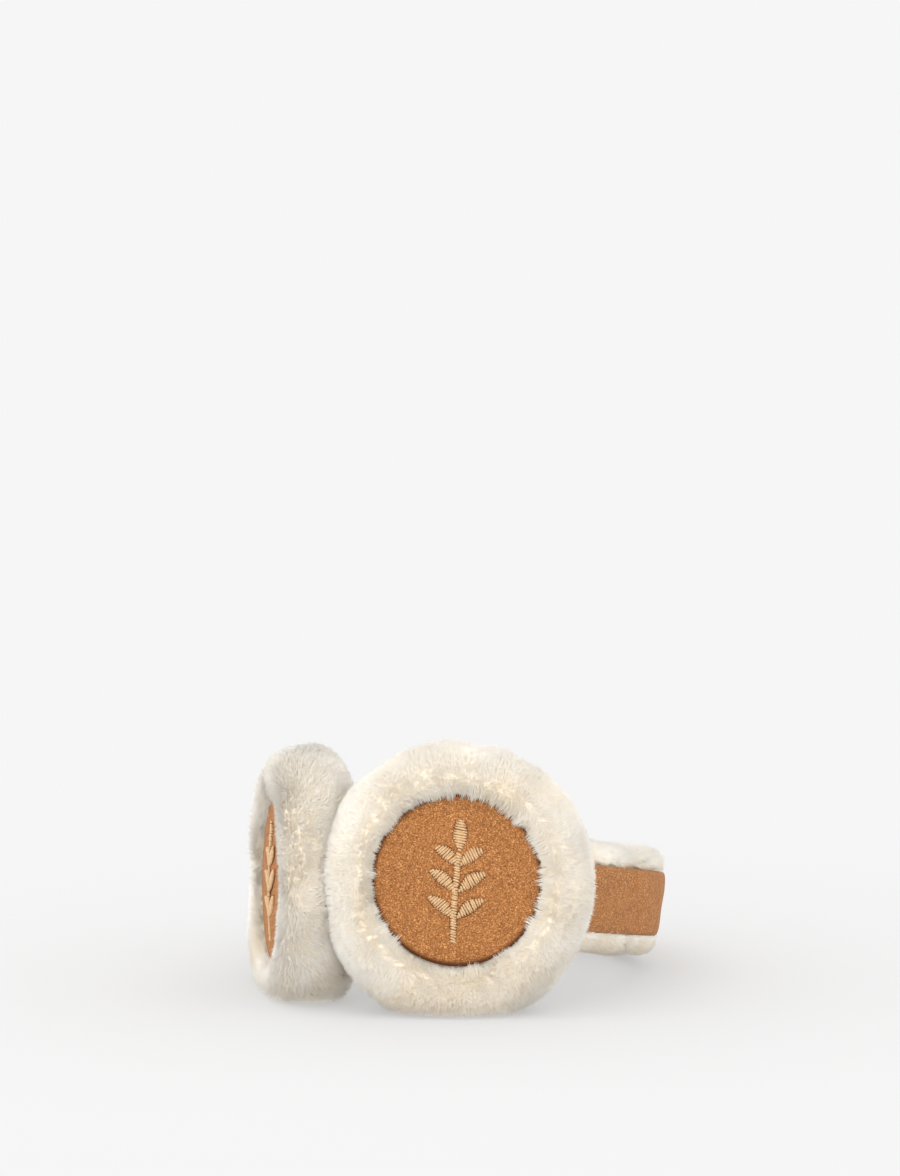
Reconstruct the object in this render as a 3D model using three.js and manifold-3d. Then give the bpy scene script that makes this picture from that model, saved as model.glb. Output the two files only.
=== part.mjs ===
/**
 * Fur earmuffs standing on a flat surface.
 *
 * Two round ear pads of sheepskin fleece, each with a suede disc set into its outer face, sit on the
 * ends of a padded headband. The band has the same fleece inside and along both edges, and a suede
 * strip along its outside. The pads stand on their squashed rims and the crown of the band rests on
 * its lower edge, so the plane of the band slopes down from the pads to the crown.
 *
 * Millimetres. +Z is up, +Y points from the pads to the crown, and +X from the left pad to the right one.
 * The origin is on the surface, below the middle of the whole.
 */
import * as THREE from 'three';
import { mergeVertices } from 'three/addons/utils/BufferGeometryUtils.js';
import Module from 'manifold-3d';

// Gap between pieces that touch
const GAP = 0.35;

// Ear pads: a turned form whose axis points out of the ear side
const PAD_RADIUS = 55.8;
const PAD_BACK = 17; // from the middle plane to the ear side
const LIP_HEIGHT = 19; // from the middle plane to the crest of the fleece round the disc
const LIP_RADIUS = 43.5; // of that crest
const SEAT_RADIUS = 34.6; // of the recess that the disc sits in
const SEAT_HEIGHT = 12; // of its floor over the middle plane
const PAD_SAG = 1.06; // how much longer the lower half is than the upper, before it is squashed
const PAD_SIDES = 44;

// Suede discs
const DISC_RADIUS = SEAT_RADIUS - GAP;
const DISC_EDGE = 2.2; // thickness at the edge
const DISC_CROWN = 1.6; // how far the middle stands over the edge
const DISC_RINGS = 4;

// Headband centre line: a half ellipse round the back, a piece of circle on the left, straight ends
const BAND_HALF_WIDTH = 70;
const BAND_DEPTH = 88;
const LEFT_TURN = THREE.MathUtils.degToRad(14); // of the circle, past the half ellipse
const LEFT_END = 14; // straight, the last of it inside the left pad
const RIGHT_END = 64; // straight, the last of it inside the right pad
const BAND_STEPS = 52;

// Headband section, across the band and out from the head
const BAND_TOP = 22.2;
const BAND_BOTTOM = -23;
const BAND_INSIDE = -9;
const BAND_SHOULDER = 7.2; // the fleece beside the strip
const BAND_CORNER = 6;
const SHOULDER_CORNER = 2.2;
const FLARE = THREE.MathUtils.degToRad(3.5); // the upper edge leans outwards
const STRIP_TOP = 13;
const STRIP_BOTTOM = -14.4;
const STRIP_FLOOR = 4.6;
const STRIP_FACE = 9.4;
const STRIP_CORNER = 2.6;
const CORNER_STEPS = 3;

// How the whole thing stands
const TILT = THREE.MathUtils.degToRad(9.5); // slope of the band's plane
const BAND_HEIGHT = 36.2; // of the centre of the band's curve over the surface
const LEFT_PAD = { name: 'left', middle: [-42.1, -66.9, -1.4], turn: 125.9, lean: -3.5 };
const RIGHT_PAD = { name: 'right', middle: [31.8, -81.3, 2.6], turn: 205, lean: 0 };

const fleece = new THREE.MeshStandardMaterial({ color: 0xf0e4d0, roughness: 0.95, metalness: 0 });
const suede = new THREE.MeshStandardMaterial({ color: 0xbe8450, roughness: 0.9, metalness: 0 });

const wasm = await Module();
wasm.setup();

/** The geometry with its shared corners merged and its collapsed triangles left out, as one solid. */
function toSolid(geometry) {
  const bare = geometry.clone();
  bare.deleteAttribute('normal');
  bare.deleteAttribute('uv');
  const welded = mergeVertices(bare, 1e-4);
  const index = welded.index.array;
  const kept = [];
  for (let i = 0; i < index.length; i += 3) {
    const [a, b, c] = index.slice(i, i + 3);
    if (a !== b && b !== c && c !== a) kept.push(a, b, c);
  }
  const vertProperties = Float32Array.from(welded.attributes.position.array);
  return new wasm.Manifold(new wasm.Mesh({ numProp: 3, vertProperties, triVerts: Uint32Array.from(kept) }));
}

/** The largest body of a solid, as a geometry. */
function toGeometry(solid) {
  const bodies = solid.decompose();
  const body = bodies.reduce((most, one) => (one.volume() > most.volume() ? one : most));
  const { vertProperties, triVerts } = body.getMesh();
  const geometry = new THREE.BufferGeometry();
  geometry.setAttribute('position', new THREE.BufferAttribute(vertProperties, 3));
  geometry.setIndex(new THREE.BufferAttribute(triVerts, 1));
  geometry.computeVertexNormals();
  return geometry;
}

/** Cuts a mesh by other placed meshes, each brought into the mesh's own frame. */
function cut(mesh, ...tools) {
  let solid = toSolid(mesh.geometry);
  for (const tool of tools) {
    const intoFrame = mesh.matrixWorld.clone().invert().multiply(tool.matrixWorld);
    solid = solid.subtract(toSolid(tool.geometry.clone().applyMatrix4(intoFrame)));
  }
  mesh.geometry = toGeometry(solid);
}

/** The turned form of an ear pad about its own +Y, grown on every side. Its own -Z hangs down. */
function padGeometry(grow = 0) {
  const radius = PAD_RADIUS + grow;
  const back = -PAD_BACK - grow;
  const lip = LIP_HEIGHT + grow;
  const seat = SEAT_RADIUS - grow;
  const outline = new THREE.Path();
  outline.moveTo(0, back);
  outline.bezierCurveTo(16, back, 30, back - 0.6, 40, back + 1.2);
  outline.bezierCurveTo(48, back + 2.6, radius, -8.5, radius, -0.5);
  outline.bezierCurveTo(radius, 10, 51.5, lip, LIP_RADIUS, lip);
  outline.bezierCurveTo(39, lip, seat + 0.8, SEAT_HEIGHT + 4, seat, SEAT_HEIGHT + 2);
  outline.lineTo(seat, SEAT_HEIGHT);
  outline.lineTo(0, SEAT_HEIGHT);
  const geometry = new THREE.LatheGeometry(outline.getPoints(5), PAD_SIDES);
  const position = geometry.attributes.position;
  for (let i = 0; i < position.count; i += 1) {
    const z = position.getZ(i);
    if (z < 0) position.setZ(i, z * (1 + (PAD_SAG - 1) * Math.min(1, -z / SEAT_RADIUS)));
  }
  return geometry;
}

/** The disc: a thin round cushion whose face is a shallow dome. */
function discGeometry() {
  const seat = SEAT_HEIGHT + GAP;
  const outline = [new THREE.Vector2(0, seat), new THREE.Vector2(DISC_RADIUS, seat)];
  for (let ring = 0; ring <= DISC_RINGS; ring += 1) {
    const share = 1 - ring / DISC_RINGS;
    outline.push(new THREE.Vector2(DISC_RADIUS * share, seat + DISC_EDGE + DISC_CROWN * (1 - share * share)));
  }
  return new THREE.LatheGeometry(outline, PAD_SIDES);
}

/** Centre line of the headband in its own plane, from the end in the right pad to the one in the left. */
class BandLine extends THREE.Curve {
  getPoint(t, target = new THREE.Vector3()) {
    const crown = (Math.PI / 2) * (BAND_HALF_WIDTH + BAND_DEPTH);
    const side = LEFT_TURN * BAND_HALF_WIDTH;
    const along = t * (RIGHT_END + crown + side + LEFT_END) - RIGHT_END;
    if (along <= 0) return target.set(BAND_HALF_WIDTH, along, 0);
    const beyond = THREE.MathUtils.clamp((along - crown) / BAND_HALF_WIDTH, 0, LEFT_TURN);
    const angle = Math.min(along / crown, 1) * Math.PI + beyond;
    const depth = angle > Math.PI ? BAND_HALF_WIDTH : BAND_DEPTH;
    target.set(BAND_HALF_WIDTH * Math.cos(angle), depth * Math.sin(angle), 0);
    const past = Math.max(along - crown - side, 0);
    target.x -= past * Math.sin(angle);
    target.y += past * Math.cos(angle);
    return target;
  }
}

/** A closed outline through corners [out, across, corner radius], turned by the flare. */
function sectionShape(corners) {
  const points = corners.map(([out, across, radius], i) => {
    const at = new THREE.Vector2(-across, -out);
    const before = corners.at(i - 1);
    const after = corners[(i + 1) % corners.length];
    const back = new THREE.Vector2(-before[1], -before[0]).sub(at).setLength(radius);
    const on = new THREE.Vector2(-after[1], -after[0]).sub(at).setLength(radius);
    return [at.clone().add(back), at, at.clone().add(on)];
  });
  const shape = new THREE.Shape();
  const middle = new THREE.Vector2();
  points.forEach(([start, corner, end], i) => {
    for (const point of [start, corner, end]) point.rotateAround(middle, FLARE);
    if (i === 0) shape.moveTo(start.x, start.y);
    else shape.lineTo(start.x, start.y);
    if (!start.equals(end)) shape.quadraticCurveTo(corner.x, corner.y, end.x, end.y);
  });
  return shape;
}

function bandGeometry(corners) {
  return new THREE.ExtrudeGeometry(sectionShape(corners), {
    steps: BAND_STEPS,
    curveSegments: CORNER_STEPS,
    extrudePath: new BandLine(),
  });
}

const bandCorners = [
  [BAND_INSIDE, BAND_BOTTOM, BAND_CORNER],
  [BAND_SHOULDER, BAND_BOTTOM, BAND_CORNER],
  [BAND_SHOULDER, STRIP_BOTTOM - GAP, SHOULDER_CORNER],
  [STRIP_FLOOR - GAP, STRIP_BOTTOM - GAP, 0],
  [STRIP_FLOOR - GAP, STRIP_TOP + GAP, 0],
  [BAND_SHOULDER, STRIP_TOP + GAP, SHOULDER_CORNER],
  [BAND_SHOULDER, BAND_TOP, BAND_CORNER],
  [BAND_INSIDE, BAND_TOP, BAND_CORNER],
];
const stripCorners = [
  [STRIP_FLOOR, STRIP_BOTTOM, 0],
  [STRIP_FACE, STRIP_BOTTOM, STRIP_CORNER],
  [STRIP_FACE, STRIP_TOP, STRIP_CORNER],
  [STRIP_FLOOR, STRIP_TOP, 0],
];

function namedMesh(name, geometry, material) {
  const mesh = new THREE.Mesh(geometry, material);
  mesh.name = name;
  return mesh;
}

/** One pad in a group of its own on the band's plane, with the grown form that cuts its neighbours. */
function earPad({ name, middle, turn, lean }) {
  const group = new THREE.Group();
  group.position.set(...middle);
  group.rotation.set(THREE.MathUtils.degToRad(lean), 0, THREE.MathUtils.degToRad(turn), 'ZXY');
  const fur = namedMesh(`${name}_ear_fur`, padGeometry(), fleece);
  const disc = namedMesh(`${name}_ear_disc`, discGeometry(), suede);
  group.add(fur, disc);
  return { group, fur, room: new THREE.Mesh(padGeometry(GAP), fleece) };
}

const earmuffs = new THREE.Group();
const tilted = new THREE.Group();
tilted.position.z = BAND_HEIGHT;
tilted.rotation.x = -TILT;
earmuffs.add(tilted);

const left = earPad(LEFT_PAD);
const right = earPad(RIGHT_PAD);
const bandFur = namedMesh('headband_fur', bandGeometry(bandCorners), fleece);
const bandSuede = namedMesh('headband_suede', bandGeometry(stripCorners), suede);
tilted.add(left.group, right.group, bandFur, bandSuede);
earmuffs.updateMatrixWorld(true);
left.room.matrixWorld.copy(left.fur.matrixWorld);
right.room.matrixWorld.copy(right.fur.matrixWorld);

// The surface that it all stands on, as a slab whose top is at z = 0
const SLAB = 600;
const surface = new THREE.Mesh(new THREE.BoxGeometry(SLAB, SLAB, SLAB), fleece);
surface.position.z = -SLAB / 2;
surface.updateMatrixWorld(true);

cut(right.fur, surface);
cut(left.fur, surface, right.room);
cut(bandFur, surface, left.room, right.room);
cut(bandSuede, left.room, right.room);

const bounds = new THREE.Box3().setFromObject(earmuffs, true);
const middle = bounds.getCenter(new THREE.Vector3());
earmuffs.position.set(-middle.x, -middle.y, 0);

export default earmuffs;
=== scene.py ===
"""Fur earmuffs standing on a surface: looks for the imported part.

Fleece ear pads and a fleece headband, a suede disc in each pad, a suede strip round the headband, and an
embroidered sprig on each disc. Every form is a surface of two parameters, worked out with numpy in the
part's own frame. Design sizes are in millimetres and become metres when a mesh is made.
"""

import math

import bpy
import numpy as np
from bpy.props import FloatProperty, FloatVectorProperty, IntProperty, PointerProperty
from mathutils import Matrix, Vector


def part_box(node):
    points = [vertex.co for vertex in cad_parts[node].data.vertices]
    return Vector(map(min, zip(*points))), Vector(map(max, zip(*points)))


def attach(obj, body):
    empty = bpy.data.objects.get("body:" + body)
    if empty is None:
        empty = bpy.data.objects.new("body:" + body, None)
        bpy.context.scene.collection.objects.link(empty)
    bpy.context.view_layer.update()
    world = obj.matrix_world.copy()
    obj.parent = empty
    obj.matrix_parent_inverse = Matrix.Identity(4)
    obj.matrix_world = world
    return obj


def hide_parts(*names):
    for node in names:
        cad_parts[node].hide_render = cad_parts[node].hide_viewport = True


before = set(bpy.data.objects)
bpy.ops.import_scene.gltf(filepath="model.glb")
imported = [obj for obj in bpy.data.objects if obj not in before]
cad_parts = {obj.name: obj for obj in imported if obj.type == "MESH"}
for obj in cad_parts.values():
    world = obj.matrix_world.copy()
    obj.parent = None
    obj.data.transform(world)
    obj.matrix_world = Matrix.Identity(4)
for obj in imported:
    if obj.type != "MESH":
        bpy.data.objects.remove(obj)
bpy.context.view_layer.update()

bl_info = {
    "name": "Fur Earmuffs",
    "version": (1, 0, 0),
    "blender": (4, 5, 0),
    "location": "3D View > Sidebar > Earmuffs",
    "description": "Makes fleece earmuffs with suede discs, a suede headband strip and embroidery",
    "category": "Add Mesh",
}

MM = 0.001  # metres in a millimetre
TAU = 2 * math.pi

# Ear pad, in millimetres: a turned form whose axis points out of the ear side
PAD_RADIUS = 55.8
PAD_BACK = 17.0
LIP_HEIGHT = 19.0
LIP_RADIUS = 43.5
SEAT_RADIUS = 34.6
SEAT_HEIGHT = 12.0
PAD_SAG = 1.06

# Suede disc
DISC_GAP = 0.35
DISC_RADIUS = SEAT_RADIUS - DISC_GAP
DISC_EDGE = 2.2
DISC_CROWN = 1.6

# Headband: its line on the plane that it lies in, and the limits of its section, outwards and across
BAND_HALF_WIDTH = 70.0
BAND_DEPTH = 88.0
LEFT_TURN = math.radians(14)
LEFT_END = 14.0
RIGHT_END = 64.0
CROWN_RUN = math.pi / 2 * (BAND_HALF_WIDTH + BAND_DEPTH)
SIDE_RUN = LEFT_TURN * BAND_HALF_WIDTH
BAND_TOP = 22.2
BAND_BOTTOM = -23.0
BAND_INSIDE = -9.0
BAND_SHOULDER = 7.2
FLARE = math.radians(3.5)
STRIP_TOP = 13.0
STRIP_BOTTOM = -14.4
STRIP_FLOOR = 4.6
STRIP_FACE = 9.4
CHANNEL_GAP = 0.6
CHANNEL_DEPTH = 0.4  # under the strip
BAND_POWER = 4.5  # how square the section is
STRIP_POWER = 5.0

# How it stands
TILT = math.radians(9.5)
BAND_HEIGHT = 36.2

# Skins under the pile: rows and columns of points, heights of their swells, how far they sink into a pad,
# and how far they stay off the floor
PAD_ROWS = 92
PAD_COLUMNS = 120
BAND_ROWS = 200
BAND_COLUMNS = 72
STRIP_ROWS = 320
STRIP_COLUMNS = 52
DISC_ROWS = 70
DISC_COLUMNS = 112
AXIS_GAP = 0.4  # radius of a turned skin's first and last ring
INSET = 0.72  # a skin's depth under its solid's outline, as a share of the pile's length
SEAT_INSET = 0.35  # share of that depth in a pad's seat
PAD_SWELL = 0.35
BAND_SWELL = 0.3
CLUMP = 0.12
DISC_SWELL = 0.22
STRIP_SWELL = 0.14
PRESSED = 0.6  # the left pad's skin in the right pad
SUNK = 1.2  # the headband's skins in the pads
END_DEPTH = 5.0  # the headband's line in a pad at its ends
PAD_CLEARANCE = 0.8
BAND_CLEARANCE = 0.9
STRIP_CLEARANCE = 0.6
SETTLE = 0.3  # width of the soft bend where a skin meets its lowest height

# Pile: the lowest root and tip over the floor, where a fibre lies on its map, and the pieces' shares
ROOT_FLOOR = 0.5
TIP_FLOOR = 0.2
MAP_MARGIN = 0.02  # least and most place across it, from each side
MAP_HALF = 0.012  # half a fibre's width on it
MAP_ENDS = (0.03, 0.97)  # a fibre's root and tip up it
PILE_SHARES = {"face": 0.21, "ear_side": 0.13, "band": 0.16}

# Embroidery, in millimetres
STITCH_STEPS = 8
STITCH_SIDES = 6
STITCH_ARCH = 0.55
NEEDLE_JITTER = 0.10
HOLE_SIZE = 0.26
HOLE_SIDES = 6

# Studio: the floor's half width in millimetres, where it fades, in metres, and where the camera sees the
# right disc's middle from its axis, as slopes to the right and down
FLOOR_HALF = 6000.0
FLOOR_FADE = (0.15, 0.50)
DISC_RIGHT = 0.00183
DISC_DOWN = 0.0730


# ---------------------------------------------------------------------------------------------------
# Numbers and surfaces

CAD_SIDES = 44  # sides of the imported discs
SECTION_STEPS = 721
LINE_STEPS = 1200
OUTLINE_STEPS = 150
CHUNK = 20000  # points measured against a pad's outline at a time


def turned(axis, angle):
    """The 3 x 3 matrix of a turn about the x or the z axis."""
    c, s = math.cos(angle), math.sin(angle)
    if axis == "x":
        return np.array([[1, 0, 0], [0, c, -s], [0, s, c]])
    return np.array([[c, -s, 0], [s, c, 0], [0, 0, 1]])


def unit(vectors):
    """Each vector over its own length."""
    return vectors / np.maximum(np.linalg.norm(vectors, axis=-1, keepdims=True), 1e-9)


def smooth_step(low, high, x):
    """0 up to low, 1 from high, and 3 t^2 - 2 t^3 between them."""
    t = np.clip((x - low) / (high - low), 0, 1)
    return t * t * (3 - 2 * t)


def bezier(corners, steps=24):
    """Points on (1-t)^3 a + 3 t (1-t)^2 b + 3 t^2 (1-t) c + t^3 d, without the first."""
    t = np.linspace(0, 1, steps + 1)[1:, None]
    a, b, c, d = np.array(corners, float)
    return (1 - t) ** 3 * a + 3 * t * (1 - t) ** 2 * b + 3 * t**2 * (1 - t) * c + t**3 * d


def evenly(points, count):
    """count points at even spacing along a line of points."""
    run = np.concatenate([[0], np.cumsum(np.linalg.norm(np.diff(points, axis=0), axis=1))])
    at = np.linspace(0, run[-1], count)
    return np.stack([np.interp(at, run, points[:, i]) for i in range(points.shape[1])], -1)


def pad_profile(count):
    """The half outline of a pad as (radius, height) points, from the middle of its ear side, round the
    rim and over the lip, down the wall of the seat and in along its floor."""
    points = [
        [[0, -PAD_BACK]],
        bezier([[0, -PAD_BACK], [16, -PAD_BACK], [30, -PAD_BACK - 0.6], [40, -PAD_BACK + 1.2]]),
        bezier([[40, -PAD_BACK + 1.2], [48, -PAD_BACK + 2.6], [PAD_RADIUS, -8.5], [PAD_RADIUS, -0.5]]),
        bezier([[PAD_RADIUS, -0.5], [PAD_RADIUS, 10], [51.5, LIP_HEIGHT], [LIP_RADIUS, LIP_HEIGHT]]),
        bezier([
            [LIP_RADIUS, LIP_HEIGHT],
            [39, LIP_HEIGHT],
            [SEAT_RADIUS + 0.8, SEAT_HEIGHT + 4],
            [SEAT_RADIUS, SEAT_HEIGHT + 2],
        ]),
        [[SEAT_RADIUS, SEAT_HEIGHT], [0, SEAT_HEIGHT]],
    ]
    return evenly(np.concatenate(points), count)


def profile_normals(profile):
    """Unit normals of a half outline, away from the solid: the tangent (t_r, t_h) turned to (t_h, -t_r)."""
    tangent = unit(np.gradient(profile, axis=0))
    return np.stack([tangent[:, 1], -tangent[:, 0]], -1)


def disc_height(radius):
    """Height of the disc's face: the edge's, plus the crown times 1 - (radius / disc radius)^2."""
    return SEAT_HEIGHT + DISC_GAP + DISC_EDGE + DISC_CROWN * (1 - (radius / DISC_RADIUS) ** 2)


def lathe(profile, sides):
    """Rings of points (r sin a, h, r cos a), one ring for each (r, h) of the profile."""
    a = np.arange(sides) * TAU / sides
    r, h = profile[:, :1], profile[:, 1:]
    return np.stack([r * np.sin(a), h + 0 * a, r * np.cos(a)], -1)


def sagged(points):
    """The lower half of a pad drawn down: z times 1 + (sag - 1) min(1, -z / seat radius) below the axis."""
    z = points[..., 2]
    longer = 1 + (PAD_SAG - 1) * np.clip(-z / SEAT_RADIUS, 0, 1)
    return np.stack([points[..., 0], points[..., 1], z * longer], -1)


class Pad:
    """Where an ear pad stands: turned on the band's plane, which slopes down to the crown."""

    def __init__(self, side, middle, turn, lean):
        """Its middle on the band's plane in millimetres, its turn about z and its lean in degrees."""
        slope = turned("x", -TILT)
        self.side = side
        self.axes = slope @ turned("z", math.radians(turn)) @ turned("x", math.radians(lean))
        self.middle = slope @ np.array(middle) + [0, 0, BAND_HEIGHT]

    def placed(self, points):
        """Points of the pad's own frame, axes * point + middle, in the part's."""
        return points @ self.axes.T + self.middle

    def own(self, points):
        """Points of the part's frame in the pad's own."""
        return (points - self.middle) @ self.axes


LEFT = Pad("left", middle=(-42.1, -66.9, -1.4), turn=125.9, lean=-3.5)
RIGHT = Pad("right", middle=(31.8, -81.3, 2.6), turn=205.0, lean=0.0)
PADS = (LEFT, RIGHT)
OUTLINE = pad_profile(OUTLINE_STEPS)
OUTLINE_NORMALS = profile_normals(OUTLINE)


def centred_on_frame():
    """The step from the design's origin to the part's: the disc's box here and in the frame."""
    low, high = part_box("right_ear_disc")
    rim = [[0, SEAT_HEIGHT + DISC_GAP], [DISC_RADIUS, SEAT_HEIGHT + DISC_GAP]]
    face = [[r, disc_height(r)] for r in np.linspace(DISC_RADIUS, 0, 5)]
    own = RIGHT.placed(lathe(np.array(rim + face), CAD_SIDES)).reshape(-1, 3)
    step = (np.array(low) + np.array(high)) / 2 / MM - (own.min(0) + own.max(0)) / 2
    return np.array([step[0], step[1], 0])


ORIGIN_STEP = centred_on_frame()
for pad in PADS:
    pad.middle = pad.middle + ORIGIN_STEP


def depth_in_pad(points, pad):
    """How far points are outside a pad's outline, less than 0 inside it, and the nearest normals."""
    own = pad.own(points)
    flat = np.stack([np.hypot(own[:, 0], own[:, 2]), own[:, 1]], -1)
    nearest = np.empty(len(flat), int)
    for part in np.array_split(np.arange(len(flat)), max(1, len(flat) // CHUNK)):
        gaps = ((flat[part, None] - OUTLINE[None]) ** 2).sum(-1)
        nearest[part] = gaps.argmin(1)
    normal = OUTLINE_NORMALS[nearest]
    return ((flat - OUTLINE[nearest]) * normal).sum(-1), normal


def kept_clear(points, pad, gap):
    """Points less than gap outside a pad's outline, or inside it, moved along the nearest normal."""
    shape = points.shape
    points = points.reshape(-1, 3).copy()
    depth, normal = depth_in_pad(points, pad)
    near = depth < gap
    own = pad.own(points[near])
    radius = np.hypot(own[:, 0], own[:, 2])
    move = (gap - depth[near])[:, None] * normal[near]
    share = (radius + move[:, 0]) / np.maximum(radius, 1e-6)
    moved = np.stack([own[:, 0] * share, own[:, 1] + move[:, 1], own[:, 2] * share], -1)
    points[near] = pad.placed(moved)
    return points.reshape(shape)


def settled(points, floor):
    """Points below a height drawn up to it: floor + (over + square root of (over^2 + width^2)) / 2."""
    over = points[..., 2] - floor
    soft = 0.5 * (over + np.sqrt(over**2 + SETTLE**2))
    return np.concatenate([points[..., :2], (floor + soft)[..., None]], -1)


def band_line(along):
    """Centre line of the band on its plane: a straight right end, half an ellipse round the crown, a
    piece of circle and a straight left end. Returns places and the directions out of the head."""

    def place(s):
        crown = np.clip(s / CROWN_RUN, 0, 1) * math.pi
        angle = crown + np.clip((s - CROWN_RUN) / BAND_HALF_WIDTH, 0, LEFT_TURN)
        depth = np.where(angle > math.pi, BAND_HALF_WIDTH, BAND_DEPTH)
        past = np.maximum(s - CROWN_RUN - SIDE_RUN, 0)
        x = BAND_HALF_WIDTH * np.cos(angle) - past * np.sin(angle)
        y = depth * np.sin(angle) + np.minimum(s, 0) + past * np.cos(angle)
        return np.stack([x, y], -1)

    ahead = unit(place(along + 0.05) - place(along - 0.05))
    return place(along), np.stack([ahead[..., 1], -ahead[..., 0]], -1)


def band_surface(section, along):
    """A section of (out, across) points carried along the band's line, flared and sloped."""
    place, outward = band_line(along)
    out = section[:, 0] * math.cos(FLARE) + section[:, 1] * math.sin(FLARE)
    across = section[:, 1] * math.cos(FLARE) - section[:, 0] * math.sin(FLARE)
    flat = place[:, None] + outward[:, None] * out[None, :, None]
    points = np.concatenate([flat, np.broadcast_to(across[None, :, None], flat.shape[:2] + (1,))], -1)
    return points @ turned("x", -TILT).T + [0, 0, BAND_HEIGHT] + ORIGIN_STEP


def rounded_section(out, across, power, count):
    """A closed section between two limits each way: |x/a|^power + |y/b|^power = 1, evenly spaced."""
    t = np.linspace(0, TAU, SECTION_STEPS)
    x = np.sign(np.cos(t)) * np.abs(np.cos(t)) ** (2 / power)
    y = np.sign(np.sin(t)) * np.abs(np.sin(t)) ** (2 / power)
    points = np.stack([
        (out[0] + out[1]) / 2 + (out[1] - out[0]) / 2 * x,
        (across[0] + across[1]) / 2 + (across[1] - across[0]) / 2 * y,
    ], -1)
    return evenly(points, count + 1)[:-1]


def visible_run(rows):
    """Even steps along the band, between the places where its line is END_DEPTH deep in the pads."""
    along = np.linspace(-RIGHT_END, CROWN_RUN + SIDE_RUN + LEFT_END, LINE_STEPS)
    line = band_surface(np.zeros((1, 2)), along)[:, 0]
    depth = np.minimum(*(depth_in_pad(line, pad)[0] for pad in PADS))
    free = along[depth > -END_DEPTH]
    return np.linspace(free.min(), free.max(), rows)


class Waves:
    """A smooth random field: a sum of sines of random direction, with wavelengths between two limits."""

    def __init__(self, seed, shortest, longest, count=28):
        random = np.random.default_rng(seed)
        length = np.exp(random.uniform(math.log(shortest), math.log(longest), count))
        self.waves = unit(random.normal(size=(count, 3))) * (TAU / length)[:, None]
        self.phases = random.uniform(0, TAU, count)
        self.pushes = unit(random.normal(size=(count, 3)))
        self.share = math.sqrt(2 / count)

    def level(self, points):
        """A number at each point, about 1 in root mean square."""
        return np.sin(points @ self.waves.T + self.phases).sum(-1) * self.share

    def push(self, points):
        """A vector at each point, each of whose axes is about 1 in root mean square."""
        return np.sin(points @ self.waves.T + self.phases) @ self.pushes * self.share * 1.7


def grid_normals(grid):
    """Unit normals of a grid whose columns close on themselves, and +1 or -1 for its winding."""
    down = np.gradient(grid, axis=0)
    round_ = np.roll(grid, -1, axis=1) - np.roll(grid, 1, axis=1)
    cross = np.cross(down, round_)
    way = np.sign(((grid - grid.mean((0, 1))) * cross).sum())
    return unit(cross) * way, way


def scatter(grid, count, weight, random):
    """Random places on a grid, each cell drawn by its area times the weight of its corner, with the normals
    and the directions of the rows' steps there. All three are blended over the cell from its corners."""
    normals, _ = grid_normals(grid)
    steps = unit(np.gradient(grid, axis=0))
    right = np.roll(grid, -1, axis=1)
    area = np.linalg.norm(np.cross(grid[1:] - grid[:-1], right[:-1] - grid[:-1]), axis=-1)
    chance = np.cumsum((area * weight[:-1]).ravel())
    cell = np.searchsorted(chance, random.random(count) * chance[-1])
    row, column = np.divmod(cell, grid.shape[1])
    s, t = random.random((2, count, 1))
    beside = (column + 1) % grid.shape[1]

    def between(field):
        near = field[row, column] * (1 - t) + field[row, beside] * t
        far = field[row + 1, column] * (1 - t) + field[row + 1, beside] * t
        return near * (1 - s) + far * s

    return between(grid), unit(between(normals)), unit(between(steps))


# ---------------------------------------------------------------------------------------------------
# Meshes


def new_piece(name, points, faces, places=None, normals=None, marks=None, material=None):
    """An object at the origin from points in millimetres and arrays of faces, all quads or all
    triangles in each array. places are (u, v) for each face corner, for the piece's own map."""
    mesh = bpy.data.meshes.new(name)
    corners = np.concatenate([f.ravel() for f in faces])
    sizes = np.concatenate([np.full(len(f), f.shape[1]) for f in faces])
    mesh.vertices.add(len(points))
    mesh.vertices.foreach_set("co", (points * MM).astype(np.float32).ravel())
    mesh.loops.add(len(corners))
    mesh.loops.foreach_set("vertex_index", corners.astype(np.int32))
    mesh.polygons.add(len(sizes))
    mesh.polygons.foreach_set("loop_start", np.concatenate([[0], np.cumsum(sizes)[:-1]]).astype(np.int32))
    mesh.update(calc_edges=True)
    if places is not None:
        layer = mesh.uv_layers.new(name="OFBake")
        layer.uv.foreach_set("vector", np.concatenate([p.ravel() for p in places]).astype(np.float32))
    for mark, values in (marks or {}).items():
        attribute = mesh.attributes.new(mark, "FLOAT", "POINT")
        attribute.data.foreach_set("value", values.astype(np.float32).ravel())
    mesh.shade_smooth()
    if normals is not None:
        mesh.normals_split_custom_set_from_vertices(normals.tolist())
    piece = bpy.data.objects.new(name, mesh)
    bpy.context.scene.collection.objects.link(piece)
    if material is not None:
        mesh.materials.append(material)
    return piece


def ring_faces(rows, sides):
    """Quads between rows of closed rings, and a fan over the first ring and one over the last. The point
    in the middle of each fan comes after the rings' own points."""
    row, side = np.divmod(np.arange((rows - 1) * sides), sides)
    near = row * sides + side
    beside = row * sides + (side + 1) % sides
    quads = np.stack([near, near + sides, beside + sides, beside], -1)
    here = np.arange(sides)
    after = (here + 1) % sides
    end = (rows - 1) * sides
    first = np.stack([np.full(sides, rows * sides), here, after], -1)
    last = np.stack([np.full(sides, rows * sides + 1), end + after, end + here], -1)
    return quads, first, last


def corner_places(*corners):
    """Places on a map, (face, corner, 2), from a pair (u, v) for each corner of the faces."""
    return np.stack([np.stack(np.broadcast_arrays(u, v), -1) for u, v in corners], 1)


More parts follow.
